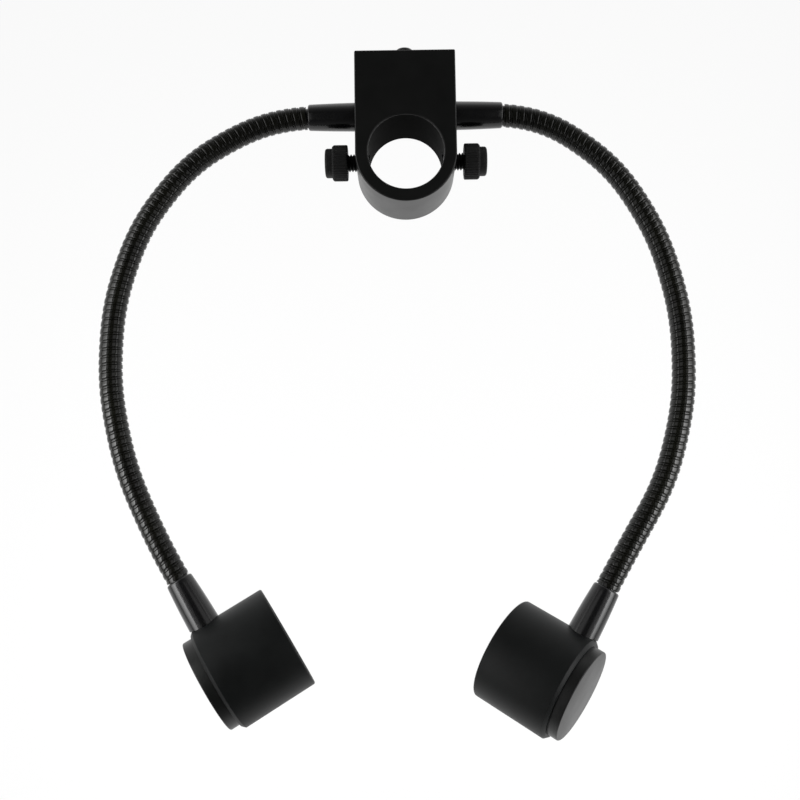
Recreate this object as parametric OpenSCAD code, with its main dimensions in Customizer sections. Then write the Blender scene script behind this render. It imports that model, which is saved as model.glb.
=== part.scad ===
// Twin gooseneck spot light on a clamp block for a round stand post.
// Origin on the post bore's axis at mid depth, +Z up along the post, +Y to the block's flat end.

/* [Clamp block] */
// Diameter of the post bore
bore_d = 25.2; // [20:0.1:28]
// Width of the block from side to side
block_w = 33.6; // [32:0.1:40]
// Distance from the bore's axis to the block's flat end
block_reach = 34.8; // [32:0.1:45]
// Height of the block along the post
block_depth = 22; // [18:0.5:30]
// Chamfer along the block's edges and the bore's mouths
edge_break = 0.5; // [0.2:0.1:1]

/* [Thumb screws] */
// Thread diameter of the thumb screws
screw_d = 6; // [5:0.5:8]
// Gap between the knob's face and the block's side, with the tip flush in the bore's wall
knob_gap = 2.9; // [2:0.1:6]
// Radial play of the screw in the block's thread
thread_gap = 0.1; // [0.05:0.01:0.2]
// Diameter of the soft tip
tip_d = 4.2; // [3:0.1:4.6]
// Thickness of the soft tip
tip_len = 1.2; // [0.8:0.1:2]
// Distance of the tip behind the bore's wall with the screw backed out
tip_back = 0.06; // [0.02:0.02:0.5]
// Diameter over the knob's grip ribs
knob_d = 12; // [10:0.5:14]
// Length of the knob's ribbed grip
knob_grip = 5.2; // [4:0.1:8]
// Number of grip ribs around the knob
knob_ribs = 40; // [24:1:48]
// Depth of the grooves between the grip ribs
knob_groove = 0.35; // [0.2:0.05:0.5]
// Diameter of the boss on the knob's outer end
knob_boss_d = 9.8; // [7:0.1:10]
// Length of the boss
knob_boss = 2.4; // [1:0.1:4]

/* [Block ferrules] */
// Distance from the bore's axis to the ferrules' axis
ferrule_y = 16.2; // [15.6:0.1:20]
// Diameter of a ferrule at the block
ferrule_base_d = 9.5; // [9:0.1:11]
// Diameter of a ferrule at its mouth
ferrule_mouth_d = 8.6; // [8.2:0.1:9]
// Length of a ferrule outside the block
ferrule_len = 16.2; // [12:0.1:22]
// Diameter of the spigot that screws into the block
spigot_d = 7; // [5:0.1:7.4]
// Length of that spigot
spigot_len = 6; // [3:0.5:7]
// Rounding of the ferrule and stem mouths
mouth_round = 0.6; // [0.3:0.1:0.7]

/* [Goosenecks] */
// Diameter over the rounded bands of the gooseneck
neck_d = 7.8; // [7.4:0.1:8]
// Diameter at the bottom of the grooves
groove_d = 6.8; // [6.4:0.1:7]
// Bore of the gooseneck
neck_bore = 4.2; // [3.2:0.1:4.6]
// Distance from one band to the next
rib_pitch = 2.52; // [2.3:0.01:2.8]
// Length of gooseneck held inside a ferrule
crimp_len = 6; // [3:0.5:8]
// Degrees that the left gooseneck turns at its ferrule's mouth, then along each stretch to the head
left_turns = [5, 24, 23.5, 19.5, 16, 14, 12.5, 6]; // the first from 0 to 8, the others up to 40, none 0
// Degrees that the right gooseneck turns at its ferrule's mouth, then along each stretch to the head
right_turns = [7, 30, 23, 16.5, 14, 14.5, 16.5, -1.5]; // the first from 0 to 8, the others up to 40, none 0
// Play of the ball-shaped seat where one stretch turns on the next
seat_gap = 0.3; // [0.25:0.05:0.4]

/* [Lamp heads] */
// Diameter of a lamp housing
head_d = 35; // [33:0.5:42]
// Length of a lamp housing
head_len = 26.3; // [25:0.1:36]
// Wall of a lamp housing
head_wall = 2.5; // [2:0.1:3]
// Diameter of the back cover
cover_d = 31.2; // [31:0.1:32]
// Height of the back cover's step behind the housing
cover_len = 3.5; // [2:0.1:6]
// Distance from the housing's back edge to the stem's axis
stem_back = 5.4; // [5.2:0.1:7]
// Length of the stem from its mouth to the housing
stem_len = 16.4; // [12:0.1:22]
// Diameter of the stem at the housing
stem_foot_d = 10.3; // [9.4:0.1:10.4]
// Diameter of the stem at its mouth
stem_mouth_d = 8.7; // [8.2:0.1:9.2]
// Degrees that the left lamp dips below level
left_dip = 9; // [0:1:45]
// Degrees that the right lamp dips below level
right_dip = 24; // [0:1:45]

/* [Lamp insides] */
// Thread diameter of the stem's spigot inside the housing
stem_thread_d = 6; // [5:0.5:6]
// Width across the flats of the stem's nut
nut_af = 8; // [7.5:0.1:8]
// Thickness of that nut
nut_len = 2.5; // [1.5:0.1:3]
// Depth of the back cover's plug inside the housing
plug_len = 1.2; // [0.6:0.1:1.2]
// Diameter of the LED board
board_d = 20; // [18:0.5:22]
// Thickness of the LED board
board_thick = 1.6; // [1:0.1:2]
// Thread diameter of the board screws
board_screw_d = 2; // [1.6:0.1:2.2]
// Width of the LED emitter's base
emitter_w = 5; // [3:0.1:5.4]
// Thickness of the emitter's base
emitter_base = 0.9; // [0.5:0.1:1.5]
// Radius of the emitter's dome
emitter_dome = 1.9; // [1:0.1:2.2]
// Share of the free depth between the stem's nut and the lens that the heat sink takes
sink_share = 0.38; // [0.3:0.01:0.45]
// Wall of the reflector
reflector_wall = 0.6; // [0.5:0.1:1]
// Thickness of the front lens
lens_thick = 2; // [1:0.1:3]
// Width of the ledge that the front lens sits on
lens_ledge = 0.8; // [0.5:0.1:1]
// Thickness of the ring that holds the lens
ring_len = 1; // [0.8:0.1:1.6]
// Width of that ring
ring_wide = 1.6; // [1:0.1:2.5]
// Depth of the ring below the housing's front edge
ring_recess = 0.2; // [0:0.1:0.8]

/* [Wiring] */
// Diameter of a lamp cable
cable_d = 2.6; // [2:0.1:2.8]
// Play of a cable in its passages
cable_gap = 0.3; // [0.1:0.05:0.3]
// Diameter of the splice in the block
splice_d = 3.4; // [2.8:0.1:3.6]
// Length of the splice
splice_len = 8; // [5:0.5:12]
// Diameter of the power inlet's nose
inlet_d = 6.4; // [5.5:0.1:8]
// Length of the nose behind the block
inlet_nose = 5; // [3:0.1:7]
// Thread diameter of the inlet in the block
inlet_thread_d = 5; // [4.5:0.1:5.4]
// Depth of the inlet in the block
inlet_depth = 8; // [6:0.5:9]
// Diameter of the socket in the inlet
socket_d = 3.5; // [3:0.1:3.6]
// Diameter of the centre pin
inlet_pin_d = 1.3; // [1:0.1:1.6]
// Thickness of the insulator at the socket's bottom
insulator_len = 3; // [2:0.5:4]

/* [Hidden] */
$fn = 64;
// Play of pieces that are pressed or screwed together
fit_gap = 0.05;
// A little more than nothing, for cuts that pass a face
past = 1;

// Clamp block
block_r = block_w / 2;
screw_hole_d = screw_d + thread_gap;
screw_solid_d = screw_d - thread_gap;
passage_d = splice_d + 2 * cable_gap;
cable_way_d = cable_d + 2 * cable_gap;

// Thumb screws, measured outwards from the bore's axis
tip_at = bore_d / 2 + tip_back;
screw_at = tip_at + tip_len;
knob_at = block_r + knob_gap;
stalk_d = tip_d / 2;
stalk_len = 2;
knob_shank_d = screw_d - 1;
knob_shank = knob_grip - 1.2;
knob_round = 0.8;
screw_lead = 0.5;

// Goosenecks
segments = len(left_turns) - 1;
ribs = 11;
neck_r = neck_d / 2;
groove_r = groove_d / 2;
neck_bore_r = neck_bore / 2;
mouth_gap = 0.5;
lead_in = 1.5 * rib_pitch;
lead_out = 0.5 * rib_pitch;
run_len = (ribs - 2) * rib_pitch;
stretch_len = ribs * rib_pitch;
neck_x = block_r + ferrule_len;
seat_lip = 0.25;
seat_r = norm([lead_out, neck_r]) + seat_lip;
neck_sides = 10;
bore_rings = 4;
cable_sides = 8;
cable_rings = 4;
cable_turn_rings = 4;

// Lamp heads
head_r = head_d / 2;
head_in_r = head_r - head_wall;
saddle_deep = 1.5;
saddle_gap = 0.03;
nut_corner = nut_af / sqrt(3);
nut_seat = head_in_r - sqrt(head_in_r * head_in_r - nut_corner * nut_corner) + fit_gap;
nut_at = stem_len + head_wall + nut_seat;
stem_end = nut_at + nut_len + 0.5;
sink_z = stem_back + nut_af / 2 + 1.5;
lens_z = head_len - ring_recess - ring_len - lens_thick;
sink_len = sink_share * (lens_z - sink_z - board_thick);
board_z = sink_z + sink_len;
face_z = board_z + board_thick;
lens_seat_r = head_in_r + lens_ledge;
lens_r = lens_seat_r - fit_gap;
board_edge = 2;
board_hole_at = board_d / 2 - board_edge;
board_screw_head_d = 1.6 * board_screw_d;
board_screw_head = 0.5 * board_screw_d;
board_screw_len = 0.7 * sink_len;
cable_turn = 3;
reflector_foot_r = emitter_w / sqrt(2) + 0.7;
reflector_foot = board_screw_head + 0.3;
reflector_rim = 0.7;
reflector_rim_r = head_in_r - fit_gap;
housing_break = 0.5;

// Colours
anodised_black = [0.07, 0.07, 0.07];
gloss_black = [0.04, 0.04, 0.045];
knob_black = [0.09, 0.09, 0.09];
steel = [0.25, 0.25, 0.25];
bright_metal = [0.75, 0.75, 0.76];
nylon = [0.12, 0.12, 0.12];
brass = [0.78, 0.62, 0.3];
cable_grey = [0.16, 0.16, 0.17];
board_white = [0.9, 0.9, 0.88];
phosphor = [0.95, 0.85, 0.3];
clear_glass = [0.85, 0.92, 0.95, 0.4];

SIDES = ["left", "right"];
SIDE_PIECES = [
    "block_ferrule", "screw_tip", "thumb_screw", "screw_knob", "lamp_cable", "stem_ferrule", "stem_nut",
    "lamp_housing", "back_cover", "heat_sink", "led_board", "led_emitter", "board_screws", "reflector",
    "front_lens", "lens_ring"
];

// The arms' flat route: it leaves along +X and bends clockwise, stretch by stretch
function turns_of(s) = s == "left" ? left_turns : right_turns;
function dip_of(s) = s == "left" ? left_dip : right_dip;
function heading(turns, i) = i == 0 ? turns[0] : heading(turns, i - 1) + turns[i];
function turned(v, h) = [v.x * cos(h) + v.y * sin(h), v.y * cos(h) - v.x * sin(h)];
function arc_r(bend) = run_len / (bend * PI / 180);

// Degrees turned, and the place, at a distance along one stretch: straight, round the bend, straight
function turn_at(bend, d) = bend * min(1, max(0, (d - lead_in) / run_len));
function place_at(bend, d) =
    let (
        a = turn_at(bend, d),
        before = min(d, lead_in),
        after = max(0, d - lead_in - run_len)
    )
    [
        before + arc_r(bend) * sin(a) + after * cos(a),
        -arc_r(bend) * (1 - cos(a)) - after * sin(a)
    ];
function pivot(turns, i) = i == 0
    ? [neck_x, ferrule_y]
    : pivot(turns, i - 1) + turned(place_at(turns[i], stretch_len), heading(turns, i - 1));

// A swept tube: each ring is [centre, first axis, second axis, radius]
function ring_points(ring, sides) = [
    for (k = [0 : sides - 1])
        let (a = 360 * k / sides) ring[0] + ring[3] * (cos(a) * ring[1] + sin(a) * ring[2])
];
function flat_points(rings, sides) = [for (r = rings) each ring_points(r, sides)];
function band_faces(from, to, sides) = [
    for (k = [0 : sides - 1])
        let (n = (k + 1) % sides)
        each [[from + k, from + n, to + n], [from + k, to + n, to + k]]
];

// Pivots of both arms and the directions they point in, for the joints
for (s = SIDES)
    for (i = [1 : segments])
        echo(side = s, pivot = i, at = pivot(turns_of(s), i), heading = heading(turns_of(s), i));

// Places
module on_side(s) {
    mirror([s == "left" ? 1 : 0, 0, 0]) children();
}

module at_pivot(turns, i) {
    p = pivot(turns, i);
    translate([p.x, p.y, 0]) rotate([0, 0, -heading(turns, i)]) children();
}

// Stem frame of a head: +X along the stem from its mouth, the light's front towards -Y
module on_stem(s) {
    on_side(s) at_pivot(turns_of(s), segments) rotate([dip_of(s), 0, 0]) children();
}

// Lamp frame: +Z along the housing from its back edge to its front, the stem on the -X side
module on_lamp(s) {
    on_stem(s) stem_to_lamp() children();
}

module stem_to_lamp() {
    translate([stem_len + head_r, stem_back, 0]) rotate([90, 0, 0]) children();
}

// A round bar along +X
module bar_x(d, from, to) {
    translate([from, 0, 0]) rotate([0, 90, 0]) cylinder(d = d, h = to - from);
}

// A turned piece along +X, from a profile of radius and distance
module turned_x() {
    rotate([0, 90, 0]) rotate_extrude() children();
}

// A band of a turned profile
module strip(r_in, r_out, from, to) {
    translate([r_in, from]) square([r_out - r_in, to - from]);
}

// Clamp block and power inlet

module block_half_profile() {
    h = block_depth / 2;
    polygon([
        [0, -h], [block_r - edge_break, -h], [block_r, edge_break - h],
        [block_r, h - edge_break], [block_r - edge_break, h], [0, h]
    ]);
}

module block_blank() {
    rotate([0, 0, 180]) rotate_extrude(angle = 180) block_half_profile();
    rotate([-90, 0, 0]) linear_extrude(block_reach) {
        block_half_profile();
        mirror([1, 0]) block_half_profile();
    }
}

module block_end_breaks() {
    side = edge_break * sqrt(2);
    for (z = [-1, 1])
        translate([0, block_reach, z * block_depth / 2]) rotate([45, 0, 0])
            cube([block_w + past, side, side], center = true);
    for (x = [-1, 1])
        translate([x * block_r, block_reach, 0]) rotate([0, 0, 45])
            cube([side, side, block_depth + past], center = true);
}

module post_bore() {
    cylinder(d = bore_d, h = block_depth + past, center = true);
    for (m = [0, 1])
        mirror([0, 0, m]) translate([0, 0, block_depth / 2 - edge_break])
            cylinder(d1 = bore_d, d2 = bore_d + 2 * edge_break + 2 * past, h = edge_break + past);
}

module clamp_block() {
    color(anodised_black) difference() {
        block_blank();
        block_end_breaks();
        post_bore();
        bar_x(screw_hole_d, -block_r - past, block_r + past);
        translate([0, ferrule_y, 0]) {
            bar_x(passage_d, -block_r, block_r);
            for (m = [0, 1])
                mirror([m, 0, 0])
                    bar_x(spigot_d + 2 * fit_gap, block_r - spigot_len - fit_gap, block_r + past);
            rotate([0, 0, 90]) bar_x(cable_way_d, 0, block_reach - ferrule_y);
        }
        rotate([0, 0, 90])
            bar_x(inlet_thread_d + 2 * fit_gap, block_reach - inlet_depth - fit_gap, block_reach + past);
    }
}

module inlet_shell() {
    nose_r = inlet_d / 2;
    round_r = (inlet_d - socket_d) / 2 - 0.3;
    nose_end = block_reach + inlet_nose;
    color(gloss_black) rotate([0, 0, 90]) turned_x() {
        strip(socket_d / 2, inlet_thread_d / 2, block_reach - inlet_depth, block_reach);
        strip(socket_d / 2, nose_r, block_reach, nose_end - round_r);
        strip(socket_d / 2, nose_r - round_r, nose_end - round_r, nose_end);
        translate([nose_r - round_r, nose_end - round_r]) circle(r = round_r);
    }
}

module inlet_insulator() {
    back = block_reach - inlet_depth;
    color(nylon) rotate([0, 0, 90]) turned_x()
        strip(inlet_pin_d / 2 + fit_gap, socket_d / 2 - fit_gap, back, back + insulator_len);
}

module inlet_pin() {
    color(brass) rotate([0, 0, 90])
        bar_x(inlet_pin_d, block_reach - inlet_depth, block_reach + inlet_nose - 1);
}

module inlet_lead() {
    color(cable_grey) rotate([0, 0, 90])
        bar_x(cable_d, ferrule_y + splice_d / 2 + fit_gap, block_reach - inlet_depth);
}

module cable_splice() {
    color(cable_grey) translate([0, ferrule_y, 0]) bar_x(splice_d, -splice_len / 2, splice_len / 2);
}

// Thumb screws

module screw_tip() {
    color(nylon) turned_x() {
        strip(0, tip_d / 2, tip_at, screw_at);
        strip(0, stalk_d / 2, screw_at, screw_at + stalk_len);
    }
}

module thumb_screw() {
    r = screw_solid_d / 2;
    color(steel) difference() {
        union() {
            turned_x() polygon([
                [0, screw_at], [r - screw_lead, screw_at], [r, screw_at + screw_lead],
                [r, knob_at], [0, knob_at]
            ]);
            bar_x(knob_shank_d, knob_at - past, knob_at + knob_shank);
        }
        bar_x(stalk_d + 2 * fit_gap, screw_at - past, screw_at + stalk_len + fit_gap);
    }
}

module knob_section() {
    groove_at = knob_d / 2;
    difference() {
        circle(d = knob_d);
        for (i = [0 : knob_ribs - 1])
            rotate(i * 360 / knob_ribs) translate([groove_at, 0]) circle(r = knob_groove, $fn = 16);
    }
}

module screw_knob() {
    grip_end = knob_at + knob_grip;
    boss_end = grip_end + knob_boss;
    boss_r = knob_boss_d / 2;
    color(knob_black) difference() {
        union() {
            intersection() {
                translate([knob_at, 0, 0]) rotate([0, 90, 0]) linear_extrude(knob_grip) knob_section();
                turned_x() polygon([
                    [0, knob_at], [knob_d / 2, knob_at], [knob_d / 2, grip_end - knob_round],
                    [knob_d / 2 - knob_round, grip_end], [0, grip_end]
                ]);
            }
            turned_x() {
                strip(0, boss_r, grip_end - knob_round, boss_end - knob_round);
                strip(0, boss_r - knob_round, grip_end - knob_round, boss_end);
                translate([boss_r - knob_round, boss_end - knob_round]) circle(r = knob_round);
            }
        }
        bar_x(knob_shank_d + 2 * fit_gap, knob_at - past, knob_at + knob_shank + fit_gap);
    }
}

// Ferrules and goosenecks

// A tapered turned piece from its foot at 0 to a rounded mouth
module tapered_profile(foot_r, mouth_r, length) {
    polygon([
        [0, 0], [foot_r, 0], [mouth_r, length - mouth_round], [mouth_r - mouth_round, length], [0, length]
    ]);
    translate([mouth_r - mouth_round, length - mouth_round]) circle(r = mouth_round);
}

module block_ferrule() {
    color(gloss_black) translate([block_r, ferrule_y, 0]) difference() {
        turned_x() {
            tapered_profile(ferrule_base_d / 2, ferrule_mouth_d / 2, ferrule_len);
            strip(0, spigot_d / 2, -spigot_len, 0);
        }
        bar_x(cable_way_d, -spigot_len - past, ferrule_len);
        bar_x(groove_d + 2 * fit_gap, ferrule_len - crimp_len - fit_gap, ferrule_len + past);
    }
}

// A ring of the hose, at a distance along a stretch that starts at the origin
function hose_ring(bend, d, r) =
    let (a = turn_at(bend, d), p = place_at(bend, d))
    [[p.x, p.y, 0], [sin(a), cos(a), 0], [0, 0, 1], r];

// Distance along the axis where a ball round the pivot has a given radius
function ball_at(ball_r, r) = sqrt(ball_r * ball_r - r * r);

// Outside of the hose: a hollow seat or a plain end, bands and grooves in turn, a ball or a plain end
function hose_outside(bend, first, last) =
    let (
        seat = seat_r + seat_gap,
        start = first
            ? [[mouth_gap, groove_r], [lead_out, neck_r], [2 * lead_out, groove_r]]
            : [[ball_at(seat, groove_r), groove_r]],
        middle = [
            for (k = [1 : ribs - 1])
                each [[(k + 0.5) * rib_pitch, neck_r], [(k + 1) * rib_pitch, groove_r]]
        ],
        end = last
            ? [[stretch_len + crimp_len, groove_r]]
            : [[stretch_len + lead_out, neck_r], [stretch_len + ball_at(seat_r, groove_r), groove_r]]
    )
    [for (q = concat(start, middle, end)) hose_ring(bend, q[0], q[1])];

// Bore of the hose, from its end back to its start
function hose_inside(bend, first, last) =
    let (
        from = first ? [] : [ball_at(seat_r + seat_gap, neck_bore_r)],
        to = stretch_len + (last ? crimp_len : ball_at(seat_r, neck_bore_r)),
        between = [for (k = [bore_rings : -1 : 0]) lead_in + run_len * k / bore_rings]
    )
    [for (d = concat([to], between, from)) hose_ring(bend, d, neck_bore_r)];

// A ring at the end that sits in the block ferrule, along the ferrule's own axis
function crimp_ring(lean, r) = [
    -crimp_len * [cos(lean), sin(lean), 0], [-sin(lean), cos(lean), 0], [0, 0, 1], r
];

module gooseneck(turns, i) {
    crimps = i == 1 ? [groove_r, neck_bore_r] : [];
    rings = concat(
        hose_outside(turns[i], i == 1, i == segments),
        hose_inside(turns[i], i == 1, i == segments),
        [for (k = [len(crimps) - 1 : -1 : 0]) crimp_ring(turns[0], crimps[k])]
    );
    count = len(rings);
    color(gloss_black) at_pivot(turns, i - 1) polyhedron(
        points = flat_points(rings, neck_sides),
        faces = [
            for (j = [0 : count - 1])
                each band_faces(j * neck_sides, (j + 1) % count * neck_sides, neck_sides)
        ]
    );
}

// Rings of the lamp cable along one stretch of an arm
function cable_stretch(turns, i) = [
    for (k = [0 : cable_rings])
        let (
            d = lead_in + run_len * k / cable_rings,
            h = heading(turns, i - 1) + turn_at(turns[i], d),
            p = pivot(turns, i - 1) + turned(place_at(turns[i], d), heading(turns, i - 1))
        )
        [[p.x, p.y, 0], [sin(h), cos(h), 0], [0, 0, 1], cable_d / 2]
];

// Rings of the cable inside a head: along the stem, round a quarter turn, and on to the board
function cable_in_head(turns, dip) =
    let (
        h = heading(turns, segments),
        p = pivot(turns, segments),
        along = [cos(h), -sin(h), 0],
        front = [-sin(h) * cos(dip), -cos(h) * cos(dip), -sin(dip)],
        side = cross(along, front),
        start = [p.x, p.y, 0],
        turn_x = stem_len + head_r - board_hole_at - cable_turn,
        centre = start + turn_x * along + cable_turn * front
    )
    [
        for (k = [0 : cable_turn_rings])
            let (a = 90 * k / cable_turn_rings, out = sin(a) * along - cos(a) * front)
            [centre + cable_turn * out, out, -side, cable_d / 2],
        [
            centre + cable_turn * along + (board_z - stem_back - cable_turn) * front,
            along, -side, cable_d / 2
        ]
    ];

// Lamp cable from the splice, through the arm, to the LED board
module lamp_cable(s) {
    turns = turns_of(s);
    rings = concat(
        [
            for (x = [splice_len / 2, neck_x - crimp_len])
                [[x, ferrule_y, 0], [0, 1, 0], [0, 0, 1], cable_d / 2]
        ],
        [for (i = [1 : segments]) each cable_stretch(turns, i)],
        cable_in_head(turns, dip_of(s))
    );
    last = (len(rings) - 1) * cable_sides;
    color(cable_grey) on_side(s) polyhedron(
        points = flat_points(rings, cable_sides),
        faces = concat(
            [[for (k = [cable_sides - 1 : -1 : 0]) k]],
            [
                for (j = [0 : len(rings) - 2])
                    each band_faces(j * cable_sides, (j + 1) * cable_sides, cable_sides)
            ],
            [[for (k = [0 : cable_sides - 1]) last + k]]
        )
    );
}

// Lamp heads

module stem_ferrule() {
    color(gloss_black) difference() {
        union() {
            difference() {
                translate([stem_len, 0, 0]) mirror([1, 0, 0]) turned_x() {
                    tapered_profile(stem_foot_d / 2, stem_mouth_d / 2, stem_len);
                    strip(0, stem_foot_d / 2, -saddle_deep, 0);
                }
                stem_to_lamp() translate([0, 0, -head_len])
                    cylinder(r = head_r + saddle_gap, h = 3 * head_len);
            }
            bar_x(stem_thread_d, stem_len - past, stem_end);
        }
        bar_x(cable_way_d, 0, stem_end + past);
        bar_x(groove_d + 2 * fit_gap, -past, crimp_len + fit_gap);
    }
}

module stem_nut() {
    color(bright_metal) difference() {
        translate([nut_at, 0, 0]) rotate([0, 90, 0]) cylinder(r = nut_corner, h = nut_len, $fn = 6);
        bar_x(stem_thread_d + 2 * fit_gap, nut_at - past, nut_at + nut_len + past);
    }
}

module lamp_housing() {
    color(anodised_black) difference() {
        rotate_extrude() polygon([
            [head_in_r, 0], [head_r - housing_break, 0], [head_r, housing_break],
            [head_r, head_len - housing_break], [head_r - housing_break, head_len],
            [lens_seat_r, head_len], [lens_seat_r, lens_z], [head_in_r, lens_z]
        ]);
        translate([0, 0, stem_back])
            bar_x(stem_thread_d + 2 * fit_gap, -head_r - past, -head_in_r / 2);
    }
}

module back_cover() {
    r = cover_d / 2;
    color(anodised_black) rotate_extrude() polygon([
        [0, -cover_len], [r - housing_break, -cover_len], [r, housing_break - cover_len], [r, 0],
        [head_in_r - fit_gap, 0], [head_in_r - fit_gap, plug_len], [0, plug_len]
    ]);
}

module board_holes(d, from, to) {
    for (y = [-1, 1])
        translate([0, y * board_hole_at, from]) cylinder(d = d, h = to - from);
}

module heat_sink() {
    color(bright_metal) difference() {
        translate([0, 0, sink_z]) cylinder(r = head_in_r - fit_gap, h = sink_len);
        translate([-board_hole_at, 0, sink_z - past]) cylinder(d = cable_way_d, h = sink_len + 2 * past);
        board_holes(board_screw_d + 2 * fit_gap, board_z - board_screw_len - fit_gap, board_z + past);
    }
}

module led_board() {
    color(board_white) difference() {
        translate([0, 0, board_z]) cylinder(d = board_d, h = board_thick);
        board_holes(board_screw_d + 2 * fit_gap, board_z - past, face_z + past);
    }
}

module led_emitter() {
    color(phosphor) {
        translate([-emitter_w / 2, -emitter_w / 2, face_z]) cube([emitter_w, emitter_w, emitter_base]);
        translate([0, 0, face_z + emitter_base]) rotate_extrude() intersection() {
            circle(r = emitter_dome);
            square(emitter_dome);
        }
    }
}

module board_screws() {
    color(steel) {
        board_holes(board_screw_d, board_z - board_screw_len, face_z);
        board_holes(board_screw_head_d, face_z, face_z + board_screw_head);
    }
}

module reflector() {
    foot_z = face_z + reflector_foot;
    rim_z = lens_z - reflector_rim;
    foot_out = reflector_foot_r + reflector_wall;
    rim_in = reflector_rim_r - reflector_rim;
    color(bright_metal) rotate_extrude() polygon([
        [reflector_foot_r, face_z], [foot_out, face_z], [foot_out, foot_z], [rim_in, rim_z],
        [reflector_rim_r, rim_z], [reflector_rim_r, lens_z], [rim_in - reflector_wall, lens_z],
        [rim_in - reflector_wall, rim_z + reflector_wall], [reflector_foot_r, foot_z + reflector_wall]
    ]);
}

module front_lens() {
    color(clear_glass) translate([0, 0, lens_z]) cylinder(r = lens_r, h = lens_thick);
}

module lens_ring() {
    color(anodised_black) rotate_extrude()
        strip(lens_seat_r - ring_wide, lens_r, lens_z + lens_thick, lens_z + lens_thick + ring_len);
}

clamp_block();
inlet_shell();
inlet_insulator();
inlet_pin();
inlet_lead();
cable_splice();

for (s = SIDES) {
    on_side(s) block_ferrule();
    on_side(s) screw_tip();
    on_side(s) thumb_screw();
    on_side(s) screw_knob();
    lamp_cable(s);
    on_stem(s) stem_ferrule();
    on_stem(s) stem_nut();
    on_lamp(s) lamp_housing();
    on_lamp(s) back_cover();
    on_lamp(s) heat_sink();
    on_lamp(s) led_board();
    on_lamp(s) led_emitter();
    on_lamp(s) board_screws();
    on_lamp(s) reflector();
    on_lamp(s) front_lens();
    on_lamp(s) lens_ring();
    for (i = [1 : segments])
        on_side(s) gooseneck(turns_of(s), i);
}
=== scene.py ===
"""Looks of a twin gooseneck spot light on a post clamp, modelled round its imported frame.

Pieces are drawn in millimetres, and each is set down in metres when it is finished.
"""
import math

import bmesh
import bpy
from mathutils import Matrix, Vector


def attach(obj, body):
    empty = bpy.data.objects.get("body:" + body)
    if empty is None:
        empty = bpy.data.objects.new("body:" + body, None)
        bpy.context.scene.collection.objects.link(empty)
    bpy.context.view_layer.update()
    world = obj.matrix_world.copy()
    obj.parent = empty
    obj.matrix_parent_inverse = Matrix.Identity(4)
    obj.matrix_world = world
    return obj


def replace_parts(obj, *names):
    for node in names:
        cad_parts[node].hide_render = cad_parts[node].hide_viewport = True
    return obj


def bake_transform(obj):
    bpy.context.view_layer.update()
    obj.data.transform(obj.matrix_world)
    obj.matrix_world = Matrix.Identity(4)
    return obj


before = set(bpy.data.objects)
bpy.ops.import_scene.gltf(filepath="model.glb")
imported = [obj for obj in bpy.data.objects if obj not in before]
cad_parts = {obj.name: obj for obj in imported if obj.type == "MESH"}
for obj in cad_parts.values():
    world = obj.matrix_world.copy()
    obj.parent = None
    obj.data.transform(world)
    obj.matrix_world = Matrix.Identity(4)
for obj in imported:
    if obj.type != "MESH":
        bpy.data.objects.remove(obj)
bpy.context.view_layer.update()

MM = 0.001
SIDES = ("left", "right")
OUTWARDS = {"left": -1, "right": 1}

# Facets round a large piece, and the distance at which points are merged
ROUND_STEPS = 160
MERGE = 0.0005

# Play between pieces that fit into each other, and the way for the wires
FIT = 0.05
WIRE_WAY_R = 1.75

# Clamp block, with its bore on Z and its flat end towards +Y
BLOCK_R, BORE_R, BLOCK_REACH, BLOCK_DEPTH = 16.8, 12.6, 34.8, 22.0
EDGE_BREAK = 0.5
SCREW_HOLE_R, SPIGOT_HOLE_R, INLET_HOLE_R = 3.05, 3.55, 2.55
FERRULE_Y, SPIGOT_LEN, INLET_DEPTH = 16.2, 6.0, 8.0
INLET_SOCKET_R, INLET_THREAD_R, INLET_NOSE_R, INLET_NOSE_LEN = 1.75, 2.5, 3.2, 5.0

# Thumb screws, measured outwards along X
TIP_AT, SCREW_AT, KNOB_AT = 12.66, 13.86, 19.7
TIP_R, THREAD_R, THREAD_ROOT_R, THREAD_PITCH = 2.1, 2.95, 2.42, 1.0
KNOB_R, KNOB_GRIP, KNOB_BOSS, KNOB_BOSS_R, KNOB_RIBS = 6.0, 5.2, 2.4, 4.9, 40
NOTCH_SHARE, KNOB_FOOT_SHARE = 0.97, 0.965
# The grip's steps up from its foot: height, and share of the full radius
KNOB_STEPS = ((0.22, 1.0), (KNOB_GRIP - 1.02, 1.0), (0.3, 0.985), (0.26, 0.955), (0.24, 0.9))

# Goosenecks: the turn at the ferrule's mouth, then the turn of each of seven stretches, in degrees
TURNS = {
    "left": (5, 24, 23.5, 19.5, 16, 14, 12.5, 6),
    "right": (7, 30, 23, 16.5, 14, 14.5, 16.5, -1.5),
}
PITCH = 2.52
# A stretch from joint to joint, its straight lead-in and its curved run
STRETCH, LEAD_IN, RUN = 11 * PITCH, 1.5 * PITCH, 9 * PITCH
STRETCHES = 7
ARM = STRETCHES * STRETCH
# Where the winding shows: from just outside the ferrule's mouth to just before the stem's
WINDING_START, WINDING_END = 0.2 * PITCH, ARM - PITCH / 6
# The ferrule's mouth, from the block's middle
NECK_X = 33.0
# How far the route runs on into ferrule and stem, and the hose's plain end in them
TAIL, GRIPPED = 10.0, 5.0
# Radius of the cable inside the hose
CABLE_R = 1.3

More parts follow.
